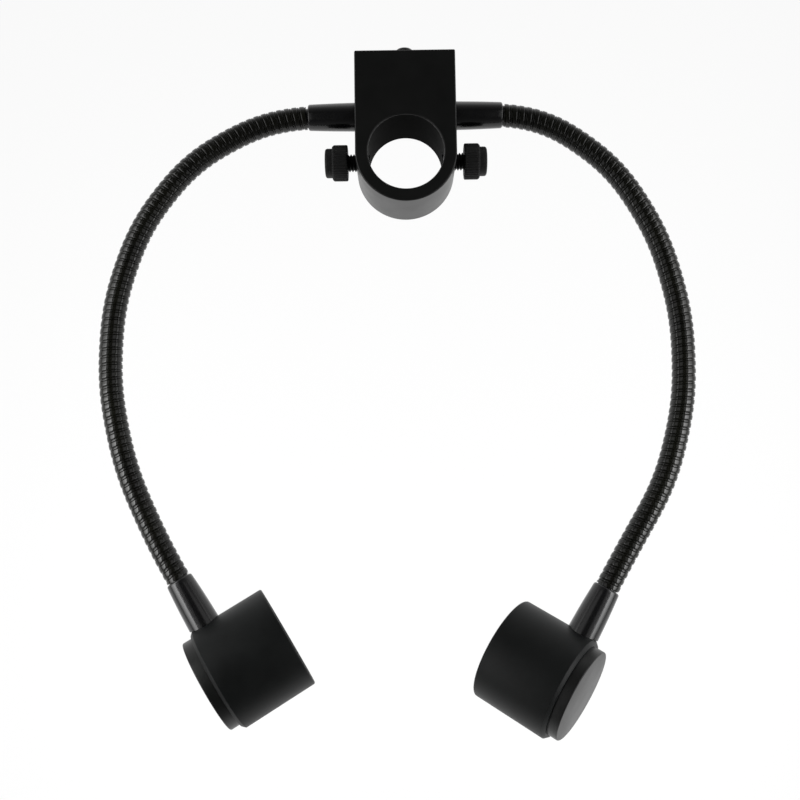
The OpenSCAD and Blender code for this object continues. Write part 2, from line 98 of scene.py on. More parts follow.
# Block ferrules and lamp stems
FERRULE_LEN, FERRULE_BASE_R, FERRULE_MOUTH_R, FERRULE_BORE_R = 16.2, 4.75, 4.3, 3.45
FERRULE_FLOOR, FERRULE_SWELL, SPIGOT_R = 0.6, 0.06, 3.5
STEM_BACK, STEM_LEN, STEM_FOOT_R, STEM_MOUTH_R = 5.4, 16.4, 5.15, 4.35
STEM_FLOOR, STEM_SWELL, STEM_SPARE, STEM_SEAT_GAP = 4.0, 0.12, 1.6, 0.06
TAPER_STEPS = 8

# Lamp heads, measured forwards from the housing's back edge
DIP = {"left": 9, "right": 24}
HEAD_R, HEAD_LEN, HEAD_IN_R, BACK_CHAMFER, FRONT_ROUND = 17.5, 26.3, 15.0, 1.0, 0.64
COVER_R, COVER_LEN, PLUG_LEN = 15.6, 3.5, 1.2
LENS_SEAT_R, LENS_BACK, LENS_THICK, RING_LEN, RING_WIDE = 15.8, 23.1, 2.0, 1.0, 1.6
BOARD_FACE = 16.528
MIRROR_FOOT_R, MIRROR_FOOT, MIRROR_RIM_R, MIRROR_RIM = 4.235, 17.8, 13.65, 22.4
MIRROR_WALL, MIRROR_FLANGE_R = 0.6, 14.95
BOWL_STEPS, BOWL_CURVE = 12, 1.6
LED_WIDE, LED_THICK, DOME_R = 5.0, 0.9, 1.9


# Materials

def linear(hex_colour):
    """An sRGB hex value as linear RGBA."""
    channels = [int(hex_colour[i:i + 2], 16) / 255 for i in (1, 3, 5)]
    return tuple(c / 12.92 if c <= 0.04045 else ((c + 0.055) / 1.055) ** 2.4 for c in channels) + (1.0,)


def add(tree, kind, values=None, links=None, **settings):
    """One node with its settings, socket values and incoming links."""
    made = tree.nodes.new(kind)
    for name, value in settings.items():
        setattr(made, name, value)
    for socket, value in (values or {}).items():
        made.inputs[socket].default_value = value
    for socket, source in (links or {}).items():
        tree.links.new(source, made.inputs[socket])
    return made


def blank(name):
    """A new material with an empty node tree."""
    made = bpy.data.materials.new(name)
    made.use_nodes = True
    made.node_tree.nodes.clear()
    return made, made.node_tree


# Slow mottling of the colour, and how much of the fine grain shows in it
MOTTLE_MM, GRAIN_SHARE = 9.0, 0.35


def finish_coat(name, dark, light, grain_mm, rough, bump_mm, surface=None):
    """A coloured coat: fine grain in bump and roughness, slow mottling in colour."""
    made, tree = blank(name)
    place = add(tree, "ShaderNodeTexCoord").outputs["Object"]
    grain = add(tree, "ShaderNodeTexNoise", {"Scale": 1 / (grain_mm * MM), "Detail": 3.0},
                {"Vector": place}).outputs["Fac"]
    mottle = add(tree, "ShaderNodeTexNoise", {"Scale": 1 / (MOTTLE_MM * MM), "Detail": 4.0},
                 {"Vector": place}).outputs["Fac"]
    blend = add(tree, "ShaderNodeMix", {"Factor": GRAIN_SHARE}, {"A": mottle, "B": grain},
                data_type="FLOAT").outputs["Result"]
    colour = add(tree, "ShaderNodeValToRGB", links={"Fac": blend})
    for stop, position, shade in zip(colour.color_ramp.elements, (0.32, 0.68), (dark, light)):
        stop.position = position
        stop.color = linear(shade)
    gloss = add(tree, "ShaderNodeMapRange",
                {"From Min": 0.3, "From Max": 0.7, "To Min": rough[0], "To Max": rough[1]},
                {"Value": blend})
    bump = add(tree, "ShaderNodeBump", {"Strength": 0.6, "Distance": bump_mm * MM}, {"Height": grain})
    shader = add(tree, "ShaderNodeBsdfPrincipled", surface,
                 {"Base Color": colour.outputs["Color"], "Roughness": gloss.outputs["Result"],
                  "Normal": bump.outputs["Normal"]})
    add(tree, "ShaderNodeOutputMaterial", links={"Surface": shader.outputs["BSDF"]})
    return made


METAL = {"Metallic": 1.0}

# Aluminium, bead blasted and anodised black: a satin skin with a fine even grain.
# Its real grain is about 0.05 mm. This and the other grains are drawn coarser, so that they show.
block_anodised = finish_coat("black_anodised_aluminium_block", "#060706", "#0B0C0B", 0.22,
                             (0.3, 0.38), 0.003, {"Specular IOR Level": 0.45})

# The bore's wall: the same dye over dull tool marks, with its reflection all but taken away. This is
# painted shade, which keeps the wall as dark as if it lay in shadow.
bore_painted_shade = finish_coat("black_anodised_aluminium_bore_painted_shade", "#080908", "#0E0F0E", 0.3,
                            (0.45, 0.55), 0.006, {"Specular IOR Level": 0.004})

# The housings' aluminium, turned, blasted fine and dyed black: nearly matte.
head_anodised = finish_coat("black_anodised_aluminium_housing", "#0B0D0D", "#141616", 0.18,
                            (0.42, 0.5), 0.003, {"Specular IOR Level": 0.2})

# The covers' aluminium, faced on the lathe and dyed black: satin.
cover_anodised = finish_coat("black_anodised_aluminium_cover", "#0B0C0B", "#131413", 0.18,
                             (0.34, 0.42), 0.003, {"Specular IOR Level": 0.33})

# Aluminium ferrules, turned, polished and anodised black: gloss, with a faint ripple about 1 mm across.
# The brass inlet is plated black and as glossy.
GLOSS_BLACK = ("#060607", "#0C0C0D", 1.1, (0.2, 0.26), 0.002, {"Coat Weight": 0.2, "Coat Roughness": 0.08})
ferrule_gloss = finish_coat("gloss_black_anodised_aluminium", *GLOSS_BLACK)
inlet_plated = finish_coat("black_plated_brass", *GLOSS_BLACK)

# Steel strip, wound and plated black: smooth bands with fine drawing marks.
hose_plated = finish_coat("black_plated_steel_strip", "#0C0C0A", "#15150F", 0.3,
                          (0.06, 0.1), 0.001, {"Specular IOR Level": 0.44})

# ABS, moulded with a spark-eroded matte grain of about 0.15 mm.
knob_abs = finish_coat("matte_black_moulded_abs", "#0C0C0C", "#141414", 0.2,
                       (0.48, 0.6), 0.008, {"Specular IOR Level": 0.3})

# Machine steel with black oxide: dark grey metal, oily sheen.
screw_oxide = finish_coat("black_oxide_steel", "#0F0F10", "#1A1A1B", 0.25,
                          (0.34, 0.46), 0.004, {"Metallic": 0.6})

# Nylon, moulded and dyed black: slightly waxy.
black_nylon = finish_coat("black_moulded_nylon", "#0F0F0F", "#181818", 0.3, (0.42, 0.52), 0.004)

# Brass, turned and left bright.
pin_brass = finish_coat("bright_brass", "#B08A3C", "#C79E4A", 0.2, (0.2, 0.3), 0.003, METAL)

# PVC, extruded: black, faintly greasy.
cable_pvc = finish_coat("black_extruded_pvc", "#0E0E0F", "#17171A", 0.6, (0.4, 0.52), 0.006)

# Zinc plated steel for nuts and small screws: bright grey, slightly dull.
nut_zinc = finish_coat("zinc_plated_steel", "#9C9E9F", "#B6B8B8", 0.4, (0.28, 0.4), 0.004, METAL)

# Aluminium, turned and left bare: pale, with a soft sheen.
sink_aluminium = finish_coat("turned_bare_aluminium", "#A8AAAB", "#BFC1C2", 0.3, (0.3, 0.42), 0.004, METAL)

# Circuit board under white solder mask: half gloss.
board_mask = finish_coat("white_solder_mask", "#DEDFDA", "#ECEDE8", 0.5, (0.3, 0.4), 0.004)

# Ceramic LED carrier, white and fine.
led_ceramic = finish_coat("white_led_ceramic", "#D6D5CC", "#E4E3DB", 0.3, (0.4, 0.5), 0.003)

# Silicone dome over yellow phosphor: wet gloss.
led_phosphor = finish_coat("yellow_phosphor_silicone", "#D8B33A", "#E7C64F", 0.4,
                           (0.12, 0.2), 0.003, {"Coat Weight": 0.6, "Coat Roughness": 0.05})

# Moulded reflector with a vacuum-deposited mirror: bright, with a faint ripple.
reflector_mirror = finish_coat("vacuum_aluminised_plastic", "#D2D4D6", "#E2E4E6", 1.6,
                               (0.06, 0.12), 0.01, METAL)


def optical_glass(smear_mm=7):
    """Polished float glass: clear, with a faint smear that dulls it in places."""
    made, tree = blank("clear_float_glass")
    place = add(tree, "ShaderNodeTexCoord").outputs["Object"]
    smear = add(tree, "ShaderNodeTexNoise", {"Scale": 1 / (smear_mm * MM), "Detail": 3.0},
                {"Vector": place})
    gloss = add(tree, "ShaderNodeMapRange",
                {"From Min": 0.35, "From Max": 0.75, "To Min": 0.0, "To Max": 0.05},
                {"Value": smear.outputs["Fac"]})
    shader = add(tree, "ShaderNodeBsdfPrincipled",
                 {"Base Color": linear("#F4F8F6"), "Transmission Weight": 1.0, "IOR": 1.5},
                 {"Roughness": gloss.outputs["Result"]})
    add(tree, "ShaderNodeOutputMaterial", links={"Surface": shader.outputs["BSDF"]})
    return made


lens_glass = optical_glass()


# Modelling by hand

def deselect():
    """Leave edit mode and let go of everything."""
    if bpy.context.object and bpy.context.object.mode != "OBJECT":
        bpy.ops.object.mode_set(mode="OBJECT")
    bpy.ops.object.select_all(action="DESELECT")


def focus(piece):
    """Select this piece alone."""
    deselect()
    piece.select_set(True)
    bpy.context.view_layer.objects.active = piece


def edit(piece):
    """Open this piece alone in edit mode."""
    focus(piece)
    bpy.ops.object.mode_set(mode="EDIT")


def started(name):
    """The primitive that was just added, under its piece's name, open in edit mode."""
    piece = bpy.context.object
    piece.name = piece.data.name = name
    edit(piece)
    bpy.ops.mesh.select_mode(type="VERT")
    bpy.ops.mesh.select_all(action="SELECT")
    return piece


def pick(piece, wanted):
    """Select the points of the mesh in edit mode whose place fits, and what lies between them."""
    bpy.ops.mesh.select_mode(type="VERT")
    bpy.ops.mesh.select_all(action="DESELECT")
    mesh = bmesh.from_edit_mesh(piece.data)
    for point in mesh.verts:
        point.select_set(bool(wanted(point.co)))
    mesh.select_flush(True)
    bmesh.update_edit_mesh(piece.data)


def pull(shift):
    """Extrude what is selected."""
    bpy.ops.mesh.extrude_region_move(TRANSFORM_OT_translate={"value": shift})


def shrink(x, y, z):
    """Scale what is selected from the origin."""
    bpy.ops.transform.resize(value=(x, y, z), center_override=(0, 0, 0))


def close_up(piece):
    """Merge doubles and turn the faces outwards."""
    edit(piece)
    bpy.ops.mesh.select_all(action="SELECT")
    bpy.ops.mesh.remove_doubles(threshold=MERGE)
    bpy.ops.mesh.normals_make_consistent(inside=False)
    bpy.ops.object.mode_set(mode="OBJECT")


def apply(piece, kind, **settings):
    """Add a modifier, set it and apply it."""
    focus(piece)
    modifier = piece.modifiers.new(kind.lower(), kind)
    for name, value in settings.items():
        setattr(modifier, name, value)
    bpy.ops.object.modifier_apply(modifier=modifier.name)


def cut(piece, *tools):
    """Cut the tools out of the piece."""
    for tool in tools:
        apply(piece, "BOOLEAN", operation="DIFFERENCE", object=tool, solver="EXACT")
        bpy.data.objects.remove(tool)


def weld(piece, other):
    """Join the other to the piece as one closed solid."""
    apply(piece, "BOOLEAN", operation="UNION", object=other, solver="EXACT")
    bpy.data.objects.remove(other)


def draw_line(name, points):
    """A line of edges, drawn by pulling one point along."""
    deselect()
    bpy.ops.mesh.primitive_plane_add(size=1)
    piece = started(name)
    bpy.ops.mesh.merge(type="CENTER")
    bpy.ops.transform.translate(value=points[0])
    for a, b in zip(points, points[1:]):
        pull(Vector(b) - Vector(a))
    return piece


def quarter(steps):
    """Angles through a quarter turn, in even steps."""
    return [k * math.pi / (2 * steps) for k in range(steps + 1)]


def eased(corners, steps=5):
    """An outline of (radius, height, corner radius) with its corners rounded."""
    line = []
    for i, (r, z, ease) in enumerate(corners):
        here = Vector((r, z))
        if ease <= 0 or i in (0, len(corners) - 1):
            line.append(here)
            continue
        back = (Vector(corners[i - 1][:2]) - here).normalized()
        ahead = (Vector(corners[i + 1][:2]) - here).normalized()
        half = back.angle(ahead) / 2
        reach = ease / math.tan(half)
        middle = here + (back + ahead).normalized() * (ease / math.sin(half))
        a, b = here + back * reach - middle, here + ahead * reach - middle
        sweep = a.angle_signed(b)
        for k in range(steps + 1):
            line.append(middle + Matrix.Rotation(-sweep * k / steps, 2) @ a)
    return [(p.x, p.y) for p in line]


def turned(name, outline, steps=96):
    """A piece turned round Z on the lathe: its outline of (radius, height) is spun and closed."""
    piece = draw_line(name, [(r, 0, z) for r, z in outline])
    bpy.ops.mesh.select_all(action="SELECT")
    bpy.ops.mesh.spin(steps=steps, angle=2 * math.pi, center=(0, 0, 0), axis=(0, 0, 1))
    close_up(piece)
    return piece


def wound(name, outline, pitch, first, turns, steps):
    """A profile of (share of the pitch, radius), wound round X as a right-hand helix."""
    piece = draw_line(name, [(first * pitch + x * pitch, 0, r) for x, r in outline])
    apply(piece, "SCREW", axis="X", angle=2 * math.pi, screw_offset=pitch, iterations=turns, steps=steps,
          render_steps=steps, use_merge_vertices=True, merge_threshold=MERGE)
    close_up(piece)
    return piece


def trim(piece, start, end, fill):
    """Cut a piece that runs along X to length."""
    edit(piece)
    for x, side in ((start, "clear_inner"), (end, "clear_outer")):
        bpy.ops.mesh.select_all(action="SELECT")
        bpy.ops.mesh.bisect(plane_co=(x, 0, 0), plane_no=(1, 0, 0), use_fill=fill, threshold=1e-6,
                            **{side: True})


def drawn_curve(name, path, **settings):
    """A curve through the points of a path."""
    curve = bpy.data.curves.new(name, "CURVE")
    curve.dimensions, curve.twist_mode = "3D", "Z_UP"
    for key, value in settings.items():
        setattr(curve, key, value)
    spline = curve.splines.new("POLY")
    spline.points.add(len(path) - 1)
    for point, place in zip(spline.points, path):
        point.co = (*place, 1.0)
    carrier = bpy.data.objects.new(name, curve)
    bpy.context.scene.collection.objects.link(carrier)
    return carrier


def along(way, origin, side_hint=(0, 0, 1)):
    """A frame whose Z runs along the way, for a piece that was turned round Z."""
    z = Vector(way).normalized()
    x = Vector(side_hint) - z * z.dot(Vector(side_hint))
    x.normalize()
    made = Matrix((x, z.cross(x), z)).transposed().to_4x4()
    made.translation = Vector(origin)
    return made


def lay(piece, place):
    """Move a piece to its place, and keep that place in its mesh."""
    focus(piece)
    piece.matrix_world = place
    bpy.ops.object.transform_apply(location=True, rotation=True, scale=True)


def settle(piece, materials, place=Matrix(), smooth=32):
    """Set the piece down in its place in metres, and give it its finish."""
    lay(piece, Matrix.Scale(MM, 4) @ place)
    bpy.ops.object.shade_smooth_by_angle(angle=math.radians(smooth))
    piece.data.materials.clear()
    for each in materials:
        piece.data.materials.append(each)


# The arms' route

# Distance between the route's points, and how far its bends are eased
STEP, EASE = 0.25, 5.0
EASE_SAMPLES = 8


def heading(side, d):
    """Turn of the arm from its ferrule's axis, in degrees, at a distance along it."""
    turns = TURNS[side]
    if d < 0:
        return 0.0
    k = min(int(d / STRETCH), STRETCHES - 1)
    return sum(turns[:k + 1]) + turns[k + 1] * min(max((d - k * STRETCH - LEAD_IN) / RUN, 0), 1)


def route(side, ease):
    """Points along the arm's middle, from inside its ferrule to inside its stem."""
    x, y, points = NECK_X - TAIL, FERRULE_Y, []
    reaches = [ease * k / EASE_SAMPLES for k in range(-EASE_SAMPLES, EASE_SAMPLES + 1)] if ease else [0]
    for i in range(int(round((ARM + 2 * TAIL) / STEP)) + 1):
        d = i * STEP - TAIL + STEP / 2
        turn = math.radians(sum(heading(side, d + reach) for reach in reaches) / len(reaches))
        points.append(Vector((OUTWARDS[side] * x, y, 0)))
        x, y = x + STEP * math.cos(turn), y - STEP * math.sin(turn)
    return points


def at(d):
    """Index of the route's point at a distance along the arm."""
    return int(round((d + TAIL) / STEP))


def direction(side, turn):
    """Way of the arm after a turn, in radians, from its ferrule's axis."""
    return Vector((OUTWARDS[side] * math.cos(turn), -math.sin(turn), 0))


exact = {side: route(side, 0) for side in SIDES}
gentle = {}
for side in SIDES:
    # the eased line is drawn back onto the joints' own line at its far end
    line = route(side, EASE)
    slip = exact[side][at(ARM)] - line[at(ARM)]
    gentle[side] = [p + slip * min(max(i * STEP - TAIL, 0) / ARM, 1) for i, p in enumerate(line)]


def lamp_frame(side):
    """The lamp's own frame: X on from the stem, Z out of the front, origin in the housing's back."""
    turn = math.radians(sum(TURNS[side]))
    stem_way = direction(side, turn)
    dip = math.radians(DIP[side])
    inwards = Vector((-OUTWARDS[side] * math.sin(turn), -math.cos(turn), 0))
    front = inwards * math.cos(dip) - Vector((0, 0, 1)) * math.sin(dip)
    centre = exact[side][at(ARM)] + stem_way * (STEM_LEN + HEAD_R)
    made = Matrix((stem_way, front.cross(stem_way), front)).transposed().to_4x4()
    made.translation = centre - front * STEM_BACK
    return made


def lamp_ways(side):
    """The ways on from the stem and out of the lamp's front."""
    lamp = lamp_frame(side).to_3x3()
    return lamp @ Vector((1, 0, 0)), lamp @ Vector((0, 0, 1))


# Clamp block

# A side hint that no cutter runs along
ASKEW = (0.3, 0.5, 0.8)


def rod(name, radius, start, end):
    """A plain round cutter between two points."""
    start, end = Vector(start), Vector(end)
    length = (end - start).length
    tool = turned(name, [(0, 0), (radius, 0), (radius, length), (0, length)], 64)
    lay(tool, along(end - start, start, ASKEW))
    return tool


def bore_tool():
    """A cutter for the bore, with a rounded lip at both mouths."""
    half = BLOCK_DEPTH / 2
    lip = [(0, half + 1), (BORE_R + EDGE_BREAK, half + 1)]
    for turn in quarter(6):
        lip.append((BORE_R + EDGE_BREAK * (1 - math.sin(turn)), half - EDGE_BREAK * (1 - math.cos(turn))))
    return turned("bore_tool", lip + [(r, -z) for r, z in reversed(lip)], ROUND_STEPS)


def clamp_block():
    """A round bar, halved and drawn out to the flat end, with broken edges, then bored."""
    deselect()
    bpy.ops.mesh.primitive_cylinder_add(vertices=ROUND_STEPS, radius=BLOCK_R, depth=BLOCK_DEPTH)
    piece = started("clamp_block_body")
    bpy.ops.mesh.bisect(plane_co=(0, 0, 0), plane_no=(0, 1, 0), use_fill=True, clear_outer=True)
    pick(piece, lambda p: abs(p.y) < 1e-4)
    pull((0, BLOCK_REACH, 0))
    bpy.ops.mesh.select_all(action="SELECT")
    bpy.ops.mesh.remove_doubles(threshold=1e-4)
    bpy.ops.mesh.select_mode(type="EDGE")
    bpy.ops.mesh.select_all(action="DESELECT")
    mesh = bmesh.from_edit_mesh(piece.data)
    for edge in mesh.edges:
        if len(edge.link_faces) == 2 and edge.calc_face_angle() > math.radians(60):
            edge.select_set(True)
    bmesh.update_edit_mesh(piece.data)
    bpy.ops.mesh.bevel(offset=EDGE_BREAK, segments=3, profile=0.5, affect="EDGES", clamp_overlap=True)
    close_up(piece)
    wall = BLOCK_R + 2
    cut(piece, bore_tool(), rod("screw_way", SCREW_HOLE_R, (-wall, 0, 0), (wall, 0, 0)),
        rod("left_spigot_way", SPIGOT_HOLE_R, (-wall, FERRULE_Y, 0), (SPIGOT_LEN - BLOCK_R, FERRULE_Y, 0)),
        rod("right_spigot_way", SPIGOT_HOLE_R, (BLOCK_R - SPIGOT_LEN, FERRULE_Y, 0), (wall, FERRULE_Y, 0)),
        rod("inlet_way", INLET_HOLE_R, (0, BLOCK_REACH + 2, 0), (0, BLOCK_REACH - INLET_DEPTH, 0)))
    settle(piece, [block_anodised, bore_painted_shade])
    # Faces of the bore's wall take the second finish, the copy with painted shade
    for face in piece.data.polygons:
        upright = abs(face.normal.z) < 0.1
        inside = math.hypot(face.center.x, face.center.y) < (BORE_R + 0.02) * MM
        face.material_index = int(upright and inside)
    apply(piece, "WEIGHTED_NORMAL", keep_sharp=True, weight=60)
    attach(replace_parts(piece, "clamp_block"), "clamp")


def power_inlet():
    """A rounded nose with a socket, screwed into the flat end."""
    end = INLET_DEPTH + INLET_NOSE_LEN
    nose = eased([(INLET_SOCKET_R, 0, 0), (INLET_THREAD_R, 0, 0), (INLET_THREAD_R, INLET_DEPTH, 0),
                  (INLET_NOSE_R, INLET_DEPTH, 0.15), (INLET_NOSE_R, end, 1.15), (INLET_SOCKET_R, end, 0.2),
                  (INLET_SOCKET_R, 0, 0)])
    piece = turned("power_inlet_shell", nose, 64)
    settle(piece, [inlet_plated], along((0, 1, 0), (0, BLOCK_REACH - INLET_DEPTH, 0)))
    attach(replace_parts(piece, "inlet_shell"), "clamp")


# Thumb screws

def knurled_knob(side):
    """A grip with straight ribs drawn up from a notched disc, and a round boss on its end."""
    points = KNOB_RIBS * 4
    deselect()
    bpy.ops.mesh.primitive_circle_add(vertices=points, radius=KNOB_R, fill_type="NGON")
    piece = started(f"{side}_thumb_knob")
    pick(piece, lambda p: round(math.atan2(p.y, p.x) / (2 * math.pi) * points) % 4 in (0, 1))
    shrink(NOTCH_SHARE, NOTCH_SHARE, 1)
    bpy.ops.mesh.select_all(action="SELECT")
    shrink(KNOB_FOOT_SHARE, KNOB_FOOT_SHARE, 1)
    size = KNOB_FOOT_SHARE
    for height, share in KNOB_STEPS:
        pull((0, 0, height))
        shrink(share / size, share / size, 1)
        size = share
    close_up(piece)
    foot, top = KNOB_GRIP - 1, KNOB_GRIP + KNOB_BOSS
    boss = eased([(0, foot, 0), (KNOB_BOSS_R, foot, 0), (KNOB_BOSS_R, top, 0.8), (0, top, 0)])
    weld(piece, turned("boss", boss, 80))
    way = Vector((OUTWARDS[side], 0, 0))
    settle(piece, [knob_abs], along(way, way * KNOB_AT), 30)
    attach(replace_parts(piece, f"{side}_screw_knob"), f"{side}_screw")


# One turn of the thread: share of the pitch, and radius
THREAD = ((0, THREAD_ROOT_R), (0.12, THREAD_ROOT_R), (0.44, THREAD_R), (0.56, THREAD_R),
          (0.88, THREAD_ROOT_R), (1, THREAD_ROOT_R))


def thumb_thread(side):
    """An M6 thread, wound, cut to length and pointed at its lead."""
    length = KNOB_AT - SCREW_AT
    piece = wound(f"{side}_thumb_thread", THREAD, THREAD_PITCH, -2, int(length) + 5, 40)
    trim(piece, 0, length + 0.4, True)
    close_up(piece)
    lead = turned("lead", [(0, -1), (THREAD_R + 2, -1), (THREAD_R + 2, 0.9), (THREAD_R, 0.55),
                           (THREAD_ROOT_R, 0), (0, 0)], 64)
    lay(lead, along((1, 0, 0), (0, 0, 0)))
    cut(piece, lead)
    turn = Matrix() if side == "right" else Matrix.Rotation(math.pi, 4, "Z")
    settle(piece, [screw_oxide], turn @ Matrix.Translation((SCREW_AT, 0, 0)), 25)
    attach(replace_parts(piece, f"{side}_thumb_screw"), f"{side}_screw")


def soft_tip(side):
    """A tip with a rounded edge, which presses on the post."""
    length = SCREW_AT - TIP_AT
    outline = eased([(0, 0, 0), (TIP_R, 0, 0.45), (TIP_R, length, 0), (0, length, 0)])
    piece = turned(f"{side}_soft_tip", outline, 48)
    way = Vector((OUTWARDS[side], 0, 0))
    settle(piece, [black_nylon], along(way, way * TIP_AT))
    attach(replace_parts(piece, f"{side}_screw_tip"), f"{side}_tip")


# Goosenecks

# One turn of the strip: a groove, a slim ridge, a shallow line and the broad flat band
STRIP = ((0.00, 3.52), (0.035, 3.53), (0.06, 3.66), (0.085, 3.715), (0.12, 3.73),
         (0.18, 3.73), (0.215, 3.71), (0.24, 3.65), (0.262, 3.58), (0.285, 3.62),
         (0.315, 3.79), (0.35, 3.865), (0.40, 3.89), (0.55, 3.90), (0.72, 3.90),
         (0.82, 3.89), (0.88, 3.855), (0.925, 3.77), (0.965, 3.58), (1.00, 3.52))
STRIP_STEPS = 30

# Cuts through the hose pass a little beside the winding's own points
CUT_ASIDE = 0.0215 * PITCH

# Share of the winding's radius at the hose's bore and at its plain end, and of the plain end's at the bore
BORE_SHARE, PLAIN_SHARE, PLAIN_BORE_SHARE = 0.56, 0.86, 0.65
BORE_MOST_R = 2.4


def close_end(piece, x, plain):
    """Close a cut end of the hose down to its bore, with a plain end where a ferrule grips it."""
    pick(piece, lambda p: abs(p.x - x) < 1e-3)
    if plain:
        for shift, share in ((0, PLAIN_SHARE), (plain, 1.0)):
            pull((shift, 0, 0))
            shrink(1, share, share)
    pull((0, 0, 0))
    inner = PLAIN_BORE_SHARE if plain else BORE_SHARE
    shrink(1, inner, inner)


def gooseneck(side, line):
    """The wound hose in six pieces, one over each joint: drawn straight, then bent along the arm's line."""
    last = STRETCHES - 1
    for j in range(1, STRETCHES):
        start = (WINDING_START if j == 1 else (j - 0.5) * STRETCH) + CUT_ASIDE
        end = (WINDING_END if j == last else (j + 0.5) * STRETCH) + CUT_ASIDE
        plain_start, plain_end = -GRIPPED if j == 1 else 0, GRIPPED if j == last else 0
        first = math.floor(start / PITCH) - 2
        turns = math.ceil((end - start) / PITCH) + 5
        piece = wound(f"{side}_hose_{j}", STRIP, PITCH, first, turns, STRIP_STEPS)
        trim(piece, start, end, False)
        close_end(piece, start, plain_start)
        close_end(piece, end, plain_end)
        mouths = start + plain_start, end + plain_end
        pick(piece, lambda p: math.hypot(p.y, p.z) < BORE_MOST_R
             and min(abs(p.x - x) for x in mouths) < 1e-3)
        bpy.ops.mesh.bridge_edge_loops(number_cuts=14)
        lay(piece, Matrix.Translation((TAIL, 0, 0)))
        close_up(piece)
        apply(piece, "CURVE", object=line, deform_axis="POS_X")
        settle(piece, [hose_plated], smooth=28)
        nodes = [f"{side}_gooseneck_{k}" for k in ((j, STRETCHES) if j == last else (j,))]
        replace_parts(piece, *nodes)
        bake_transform(piece)


# The cable starts this far from the block's middle, and turns forwards this far inside the housing
CABLE_STARTS = (4.4, 8, 12, 16, 20)
CABLE_TURN_IN, CABLE_TURN_R, CABLE_END = 8.0, 3.0, 5.0
CABLE_STRIDE = 6


def lamp_cable(side):
    """The cable inside the hose, from the splice to the LED board, in one piece over each joint."""
    points = gentle[side]
    stem_way, forward = lamp_ways(side)
    corner = points[at(ARM)] + stem_way * (STEM_LEN + HEAD_R - CABLE_TURN_IN)
    in_block = [Vector((OUTWARDS[side] * x, FERRULE_Y, 0)) for x in CABLE_STARTS] + points[:at(0)]
    in_head = []
    for turn in quarter(6):
        in_head.append(corner + stem_way * CABLE_TURN_R * math.sin(turn)
                       + forward * CABLE_TURN_R * (1 - math.cos(turn)))
    in_head.append(in_head[-1] + forward * CABLE_END)
    for j in range(1, STRETCHES):
        first, last = j == 1, j == STRETCHES - 1
        a = 0 if first else (j - 0.5) * STRETCH
        b = ARM if last else (j + 0.5) * STRETCH
        path = points[at(a):at(b) + 1:CABLE_STRIDE]
        path = (in_block if first else []) + path + (in_head if last else [])
        focus(drawn_curve(f"{side}_cable_{j}", path, bevel_depth=CABLE_R, bevel_resolution=3,
                          use_fill_caps=True))
        bpy.ops.object.convert(target="MESH")
        piece = bpy.context.object
        close_up(piece)
        settle(piece, [cable_pvc], smooth=50)
        if first:
            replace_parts(piece, f"{side}_lamp_cable")
        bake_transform(piece)


# Ferrules, stems and heads

def taper(start_r, end_r, length, swell):
    """Outline of a slightly swelling taper, between its two ends and at the far one."""
    line = []
    for k in range(1, TAPER_STEPS + 1):
        t = k / TAPER_STEPS
        line.append((start_r + (end_r - start_r) * t + swell * math.sin(math.pi * t), length * t, 0))
    return line


def block_ferrule(side):
    """A tapered sleeve with a rounded mouth, spigoted into the block's side."""
    spigot = FIT - SPIGOT_LEN
    flank = taper(FERRULE_BASE_R, FERRULE_MOUTH_R, FERRULE_LEN, FERRULE_SWELL)[:-1]
    body = [(FERRULE_BORE_R, FERRULE_FLOOR, 0), (FERRULE_BORE_R, FERRULE_LEN, 0.2),
            (FERRULE_MOUTH_R, FERRULE_LEN, 0.6), *reversed(flank), (FERRULE_BASE_R, 0, 0.2),
            (SPIGOT_R, 0, 0), (SPIGOT_R, spigot, 0.3), (WIRE_WAY_R, spigot, 0.2),
            (WIRE_WAY_R, FERRULE_FLOOR, 0), (FERRULE_BORE_R, FERRULE_FLOOR, 0)]
    piece = turned(f"{side}_neck_ferrule", eased(body))
    way = Vector((OUTWARDS[side], 0, 0))
    settle(piece, [ferrule_gloss], along(way, (OUTWARDS[side] * BLOCK_R, FERRULE_Y, 0)), 40)
    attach(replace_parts(piece, f"{side}_block_ferrule"), "clamp")


def lamp_stem(side):
    """A stem that swells to its foot, which is hollowed to sit on the round housing."""
    floor, foot = STEM_LEN - STEM_FLOOR, STEM_LEN + STEM_SPARE
    body = [(FERRULE_BORE_R, floor, 0), (FERRULE_BORE_R, 0, 0.2), (STEM_MOUTH_R, 0, 0.75),
            *taper(STEM_MOUTH_R, STEM_FOOT_R, STEM_LEN, STEM_SWELL), (STEM_FOOT_R, foot, 0),
            (WIRE_WAY_R, foot, 0), (WIRE_WAY_R, floor, 0), (FERRULE_BORE_R, floor, 0)]
    piece = turned(f"{side}_lamp_stem", eased(body))
    seat_r, reach = HEAD_R + STEM_SEAT_GAP, 20
    seat = turned("housing_tool", [(0, -reach), (seat_r, -reach), (seat_r, reach), (0, reach)], ROUND_STEPS)
    lay(seat, along((1, 0, 0), (0, 0, STEM_LEN + HEAD_R)))
    cut(piece, seat)
    stem_way, front = lamp_ways(side)
    settle(piece, [ferrule_gloss], along(stem_way, exact[side][at(ARM)], front), 40)
    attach(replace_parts(piece, f"{side}_stem_ferrule"), f"{side}_head")


def head_piece(side, name, outline, node, material, steps=ROUND_STEPS):
    """A piece of the head, turned round the lamp's axis."""
    piece = turned(f"{side}_{name}", outline, steps)
    settle(piece, [material], lamp_frame(side), 35)
    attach(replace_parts(piece, f"{side}_{node}"), f"{side}_head")


